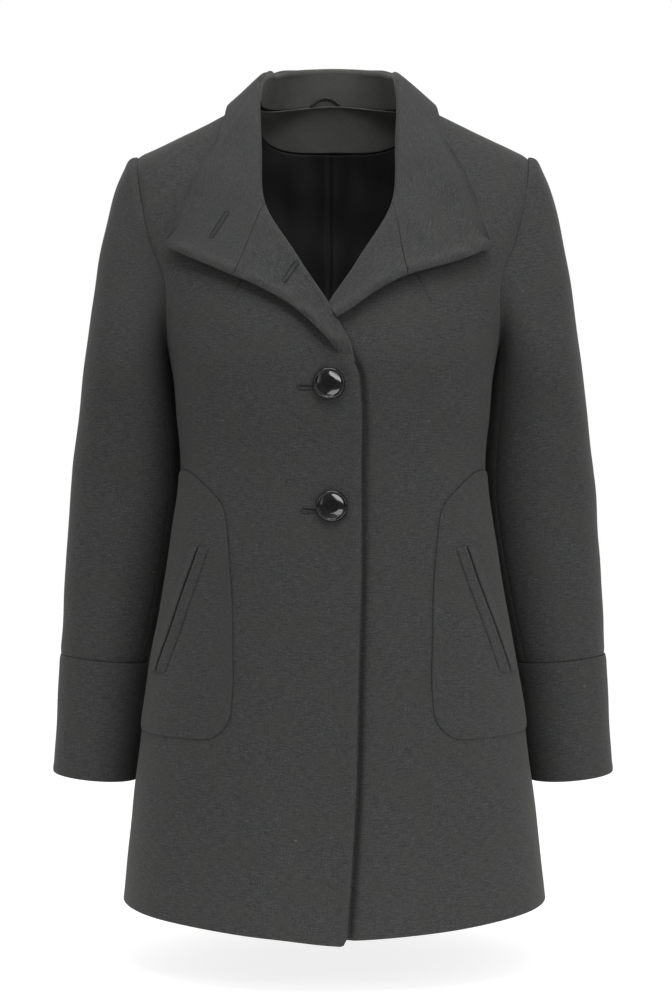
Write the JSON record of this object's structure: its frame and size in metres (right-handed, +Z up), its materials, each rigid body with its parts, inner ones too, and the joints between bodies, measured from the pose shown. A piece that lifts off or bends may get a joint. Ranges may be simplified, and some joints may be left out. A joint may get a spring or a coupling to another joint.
{
  "type": "overcoat",
  "caption": "Hollow worn-form wool overcoat with a wide turned collar and lapels, lapped buttoned front, cuffed two-piece sleeves and slanting welt pockets.",
  "frame": {"origin": "middle of the wearer's shoulders, on the shoulder line between the two sleeve heads", "axes": "+Z up, +X to the wearer's left, the front faces -Y"},
  "size_m": [0.566, 0.3265, 0.851],
  "materials": {
    "wool": "charcoal melange wool coating, brushed and matt",
    "lining": "black satin lining with a soft sheen",
    "button": "polished black resin"
  },
  "bodies": {
    "root": {"right_front": "wool", "left_front": "wool", "back": "wool", "right_upper_sleeve": "wool", "right_under_sleeve": "wool", "left_upper_sleeve": "wool", "left_under_sleeve": "wool", "right_cuff": "wool", "left_cuff": "wool", "collar": "wool", "right_lapel": "wool", "left_lapel": "wool", "right_pocket_panel": "wool", "left_pocket_panel": "wool", "right_welt_front": "wool", "right_welt_back": "wool", "left_welt_front": "wool", "left_welt_back": "wool", "back_neck_facing": "wool", "hanger_loop": "wool", "back_lining": "lining", "button_upper": "button", "button_lower": "button"}
  },
  "joints": []
}
